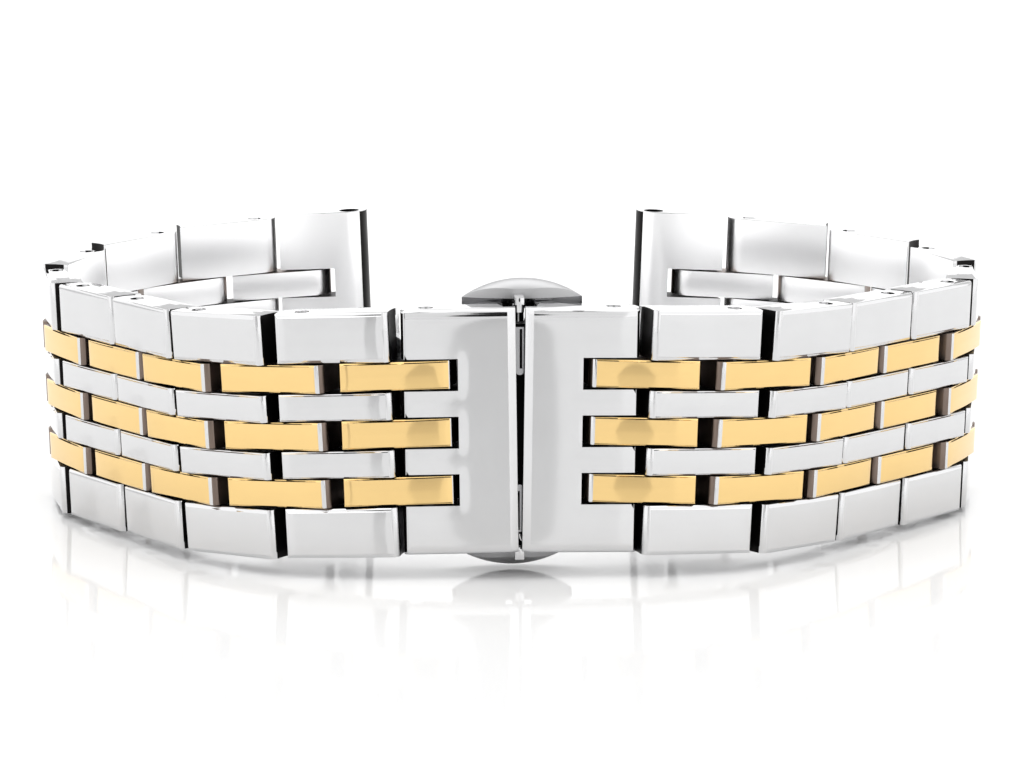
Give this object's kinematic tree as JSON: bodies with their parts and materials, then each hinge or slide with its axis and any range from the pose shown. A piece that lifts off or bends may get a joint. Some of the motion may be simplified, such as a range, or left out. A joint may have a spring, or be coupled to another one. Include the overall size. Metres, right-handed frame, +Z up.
{
  "type": "link watch bracelet",
  "caption": "Two-tone seven-row metal link bracelet for a watch, with tapered ends and a butterfly folding clasp with side push buttons.",
  "frame": {"origin": "middle of the bracelet's box, on the ground that its side edge stands on", "axes": "+Z up along the link pins, -Y out of the clasp's front face, +X to the right along the clasp"},
  "size_m": [0.0824, 0.0574, 0.024],
  "materials": {
    "polished_steel": "mirror polished",
    "gold": "mirror polished gold tone",
    "inner_steel": "fine brushed",
    "spring_steel": "satin"
  },
  "bodies": {
    "root": {"base_plate": "inner_steel", "catch_housing": "inner_steel", "catch_spring_top": "spring_steel", "catch_spring_bottom": "spring_steel", "base_pin_left": "inner_steel", "base_pin_right": "inner_steel", "return_spring_top": "spring_steel", "return_spring_bottom": "spring_steel"},
    "arm_left": {"folding_arm_left": "inner_steel"},
    "half_left": {"clasp_half_left": "polished_steel", "clasp_link_pin_left": "polished_steel", "arm_pin_left": "polished_steel"},
    "left_gold_link_1": {"left_gold_link_1": "gold"},
    "left_steel_link_1": {"left_steel_link_1": "polished_steel"},
    "left_gold_link_2": {"left_gold_link_2": "gold"},
    "left_steel_link_2": {"left_steel_link_2": "polished_steel"},
    "left_gold_link_3": {"left_gold_link_3": "gold"},
    "left_steel_link_3": {"left_steel_link_3": "polished_steel"},
    "left_gold_link_4": {"left_gold_link_4": "gold"},
    "left_steel_link_4": {"left_steel_link_4": "polished_steel"},
    "left_gold_link_5": {"left_gold_link_5": "gold"},
    "left_steel_link_5": {"left_steel_link_5": "polished_steel"},
    "left_gold_link_6": {"left_gold_link_6": "gold"},
    "left_steel_link_6": {"left_steel_link_6": "polished_steel"},
    "left_gold_link_7": {"left_gold_link_7": "gold"},
    "left_steel_link_7": {"left_steel_link_7": "polished_steel"},
    "left_gold_link_8": {"left_gold_link_8": "gold"},
    "left_steel_link_8": {"left_steel_link_8": "polished_steel"},
    "left_gold_link_9": {"left_gold_link_9": "gold"},
    "left_end_link": {"left_end_link": "polished_steel"},
    "arm_right": {"folding_arm_right": "inner_steel"},
    "half_right": {"clasp_half_right": "polished_steel", "clasp_link_pin_right": "polished_steel", "arm_pin_right": "polished_steel"},
    "right_gold_link_1": {"right_gold_link_1": "gold"},
    "right_steel_link_1": {"right_steel_link_1": "polished_steel"},
    "right_gold_link_2": {"right_gold_link_2": "gold"},
    "right_steel_link_2": {"right_steel_link_2": "polished_steel"},
    "right_gold_link_3": {"right_gold_link_3": "gold"},
    "right_steel_link_3": {"right_steel_link_3": "polished_steel"},
    "right_gold_link_4": {"right_gold_link_4": "gold"},
    "right_steel_link_4": {"right_steel_link_4": "polished_steel"},
    "right_gold_link_5": {"right_gold_link_5": "gold"},
    "right_steel_link_5": {"right_steel_link_5": "polished_steel"},
    "right_gold_link_6": {"right_gold_link_6": "gold"},
    "right_steel_link_6": {"right_steel_link_6": "polished_steel"},
    "right_gold_link_7": {"right_gold_link_7": "gold"},
    "right_steel_link_7": {"right_steel_link_7": "polished_steel"},
    "right_gold_link_8": {"right_gold_link_8": "gold"},
    "right_steel_link_8": {"right_steel_link_8": "polished_steel"},
    "right_gold_link_9": {"right_gold_link_9": "gold"},
    "right_end_link": {"right_end_link": "polished_steel"},
    "button_top": {"push_button_top": "polished_steel"},
    "button_bottom": {"push_button_bottom": "polished_steel"}
  },
  "joints": [
    {"name": "arm_left_fold", "type": "hinge", "parent": "root", "child": "arm_left", "pos_m": [-0.01825, -0.02134, 0.01209], "axis": [0, 0, -1], "range_deg": [0, 150]},
    {"name": "half_left_turn", "type": "hinge", "parent": "arm_left", "child": "half_left", "pos_m": [-0.00345, -0.0252, 0.01219], "axis": [0.014, 0, -0.9999], "range_deg": [-150, 0]},
    {"name": "left_hinge_1", "type": "hinge", "parent": "half_left", "child": "left_gold_link_1", "pos_m": [-0.00867, -0.02675, 0.01212], "axis": [0.014, 0, -0.9999], "range_deg": [-7.1, 1.9]},
    {"name": "left_hinge_2", "type": "hinge", "parent": "left_gold_link_1", "child": "left_steel_link_1", "pos_m": [-0.01351, -0.02657, 0.01192], "axis": [0.0454, 0, -0.999], "range_deg": [-14.8, 5.7]},
    {"name": "left_hinge_3", "type": "hinge", "parent": "left_steel_link_1", "child": "left_gold_link_2", "pos_m": [-0.01826, -0.02557, 0.0117], "axis": [0.0454, 0, -0.999], "range_deg": [-17.6, 2.9]},
    {"name": "left_hinge_4", "type": "hinge", "parent": "left_gold_link_2", "child": "left_steel_link_2", "pos_m": [-0.02266, -0.02356, 0.01137], "axis": [0.061, 0, -0.9981], "range_deg": [-19.6, 0.9]},
    {"name": "left_hinge_5", "type": "hinge", "parent": "left_steel_link_2", "child": "left_gold_link_3", "pos_m": [-0.02641, -0.0205, 0.01114], "axis": [0.061, 0, -0.9981], "range_deg": [-19.6, 0.9]},
    {"name": "left_hinge_6", "type": "hinge", "parent": "left_gold_link_3", "child": "left_steel_link_3", "pos_m": [-0.02928, -0.01659, 0.01092], "axis": [0.0488, 0, -0.9988], "range_deg": [-11.1, 9.4]},
    {"name": "left_hinge_7", "type": "hinge", "parent": "left_steel_link_3", "child": "left_gold_link_4", "pos_m": [-0.03171, -0.0124, 0.01081], "axis": [0.0488, 0, -0.9988], "range_deg": [-4.9, 15.6]},
    {"name": "left_hinge_8", "type": "hinge", "parent": "left_gold_link_4", "child": "left_steel_link_4", "pos_m": [-0.03416, -0.00822, 0.0107], "axis": [0.0366, 0, -0.9993], "range_deg": [-5.2, 15.3]},
    {"name": "left_hinge_9", "type": "hinge", "parent": "left_steel_link_4", "child": "left_gold_link_5", "pos_m": [-0.03659, -0.00402, 0.01061], "axis": [0.0366, 0, -0.9993], "range_deg": [-12.5, 8]},
    {"name": "left_hinge_10", "type": "hinge", "parent": "left_gold_link_5", "child": "left_steel_link_5", "pos_m": [-0.03845, 0.00046, 0.01054], "axis": [0.0366, 0, -0.9993], "range_deg": [-19.5, 1]},
    {"name": "left_hinge_11", "type": "hinge", "parent": "left_steel_link_5", "child": "left_gold_link_6", "pos_m": [-0.03914, 0.00526, 0.01052], "axis": [0.0366, 0, -0.9993], "range_deg": [-19.6, 0.9]},
    {"name": "left_hinge_12", "type": "hinge", "parent": "left_gold_link_6", "child": "left_steel_link_6", "pos_m": [-0.03859, 0.01008, 0.01054], "axis": [0.0366, 0, -0.9993], "range_deg": [-19.5, 1]},
    {"name": "left_hinge_13", "type": "hinge", "parent": "left_steel_link_6", "child": "left_gold_link_7", "pos_m": [-0.03685, 0.01461, 0.0106], "axis": [0.0366, 0, -0.9993], "range_deg": [-17.2, 3.3]},
    {"name": "left_hinge_14", "type": "hinge", "parent": "left_gold_link_7", "child": "left_steel_link_7", "pos_m": [-0.0342, 0.01866, 0.0107], "axis": [0.0366, 0, -0.9993], "range_deg": [-17.7, 2.8]},
    {"name": "left_hinge_15", "type": "hinge", "parent": "left_steel_link_7", "child": "left_gold_link_8", "pos_m": [-0.03072, 0.02204, 0.01083], "axis": [0.0366, 0, -0.9993], "range_deg": [-18.6, 1.9]},
    {"name": "left_hinge_16", "type": "hinge", "parent": "left_gold_link_8", "child": "left_steel_link_8", "pos_m": [-0.02654, 0.0245, 0.01098], "axis": [0.0366, 0, -0.9993], "range_deg": [-15.9, 4.6]},
    {"name": "left_hinge_17", "type": "hinge", "parent": "left_steel_link_8", "child": "left_gold_link_9", "pos_m": [-0.02197, 0.02613, 0.01115], "axis": [0.0366, 0, -0.9993], "range_deg": [-14.9, 5.6]},
    {"name": "left_hinge_18", "type": "hinge", "parent": "left_gold_link_9", "child": "left_end_link", "pos_m": [-0.0172, 0.02695, 0.01132], "axis": [0.0366, 0, -0.9993], "range_deg": [-19.5, 1]},
    {"name": "arm_right_fold", "type": "hinge", "parent": "root", "child": "arm_right", "pos_m": [0.01575, -0.02134, 0.01209], "axis": [0, 0, 1], "range_deg": [0, 150]},
    {"name": "half_right_turn", "type": "hinge", "parent": "arm_right", "child": "half_right", "pos_m": [0.00095, -0.0252, 0.01219], "axis": [0.014, 0, 0.9999], "range_deg": [-150, 0]},
    {"name": "right_hinge_1", "type": "hinge", "parent": "half_right", "child": "right_gold_link_1", "pos_m": [0.00617, -0.02675, 0.01212], "axis": [0.014, 0, 0.9999], "range_deg": [-3.8, 5.2]},
    {"name": "right_hinge_2", "type": "hinge", "parent": "right_gold_link_1", "child": "right_steel_link_1", "pos_m": [0.01101, -0.02685, 0.01192], "axis": [0.0454, 0, 0.999], "range_deg": [-19.2, 1.3]},
    {"name": "right_hinge_3", "type": "hinge", "parent": "right_steel_link_1", "child": "right_gold_link_2", "pos_m": [0.01573, -0.02576, 0.0117], "axis": [0.0454, 0, 0.999], "range_deg": [-19.2, 1.3]},
    {"name": "right_hinge_4", "type": "hinge", "parent": "right_gold_link_2", "child": "right_steel_link_2", "pos_m": [0.02003, -0.02354, 0.01138], "axis": [0.061, 0, 0.9981], "range_deg": [-19.6, 0.9]},
    {"name": "right_hinge_5", "type": "hinge", "parent": "right_steel_link_2", "child": "right_gold_link_3", "pos_m": [0.02364, -0.02031, 0.01116], "axis": [0.061, 0, 0.9981], "range_deg": [-13.1, 7.4]},
    {"name": "right_hinge_6", "type": "hinge", "parent": "right_gold_link_3", "child": "right_steel_link_3", "pos_m": [0.02676, -0.0166, 0.01093], "axis": [0.0488, 0, 0.9988], "range_deg": [-5, 15.5]},
    {"name": "right_hinge_7", "type": "hinge", "parent": "right_steel_link_3", "child": "right_gold_link_4", "pos_m": [0.02988, -0.01289, 0.01077], "axis": [0.0488, 0, 0.9988], "range_deg": [-4.8, 15.7]},
    {"name": "right_hinge_8", "type": "hinge", "parent": "right_gold_link_4", "child": "right_steel_link_4", "pos_m": [0.03301, -0.00919, 0.01064], "axis": [0.0366, 0, 0.9993], "range_deg": [-5.4, 15.1]},
    {"name": "right_hinge_9", "type": "hinge", "parent": "right_steel_link_4", "child": "right_gold_link_5", "pos_m": [0.03612, -0.00547, 0.01053], "axis": [0.0366, 0, 0.9993], "range_deg": [-19.6, 0.9]},
    {"name": "right_hinge_10", "type": "hinge", "parent": "right_gold_link_5", "child": "right_steel_link_5", "pos_m": [0.03819, -0.00109, 0.01045], "axis": [0.0366, 0, 0.9993], "range_deg": [-19.8, 0.7]},
    {"name": "right_hinge_11", "type": "hinge", "parent": "right_steel_link_5", "child": "right_gold_link_6", "pos_m": [0.03908, 0.00368, 0.01042], "axis": [0.0366, 0, 0.9993], "range_deg": [-19.7, 0.8]},
    {"name": "right_hinge_12", "type": "hinge", "parent": "right_gold_link_6", "child": "right_steel_link_6", "pos_m": [0.03872, 0.00852, 0.01043], "axis": [0.0366, 0, 0.9993], "range_deg": [-19.7, 0.8]},
    {"name": "right_hinge_13", "type": "hinge", "parent": "right_steel_link_6", "child": "right_gold_link_7", "pos_m": [0.03715, 0.01311, 0.01049], "axis": [0.0366, 0, 0.9993], "range_deg": [-19.5, 1]},
    {"name": "right_hinge_14", "type": "hinge", "parent": "right_gold_link_7", "child": "right_steel_link_7", "pos_m": [0.03448, 0.01716, 0.01059], "axis": [0.0366, 0, 0.9993], "range_deg": [-17.5, 3]},
    {"name": "right_hinge_15", "type": "hinge", "parent": "right_steel_link_7", "child": "right_gold_link_8", "pos_m": [0.031, 0.02053, 0.01071], "axis": [0.0366, 0, 0.9993], "range_deg": [-16.5, 4]},
    {"name": "right_hinge_16", "type": "hinge", "parent": "right_gold_link_8", "child": "right_steel_link_8", "pos_m": [0.02692, 0.02314, 0.01086], "axis": [0.0366, 0, 0.9993], "range_deg": [-17.8, 2.7]},
    {"name": "right_hinge_17", "type": "hinge", "parent": "right_steel_link_8", "child": "right_gold_link_9", "pos_m": [0.02236, 0.02479, 0.01103], "axis": [0.0366, 0, 0.9993], "range_deg": [-16.4, 4.1]},
    {"name": "right_hinge_18", "type": "hinge", "parent": "right_gold_link_9", "child": "right_end_link", "pos_m": [0.01757, 0.02549, 0.01121], "axis": [0.0366, 0, 0.9993], "range_deg": [-11.4, 9.1]},
    {"name": "button_top_press", "type": "slide", "parent": "root", "child": "button_top", "axis": [0, 0, -1], "range_m": [0, 0.0008], "stiffness_N_per_m": 900, "springref_m": -0.001, "deforming": ["return_spring_top"]},
    {"name": "button_bottom_press", "type": "slide", "parent": "root", "child": "button_bottom", "axis": [0, 0, 1], "range_m": [0, 0.0008], "stiffness_N_per_m": 900, "springref_m": -0.001, "deforming": ["return_spring_bottom"]}
  ],
  "couplings": [
    {"joint": "half_left_turn", "follows": "arm_left_fold", "ratio": -1},
    {"joint": "half_right_turn", "follows": "arm_right_fold", "ratio": -1}
  ]
}
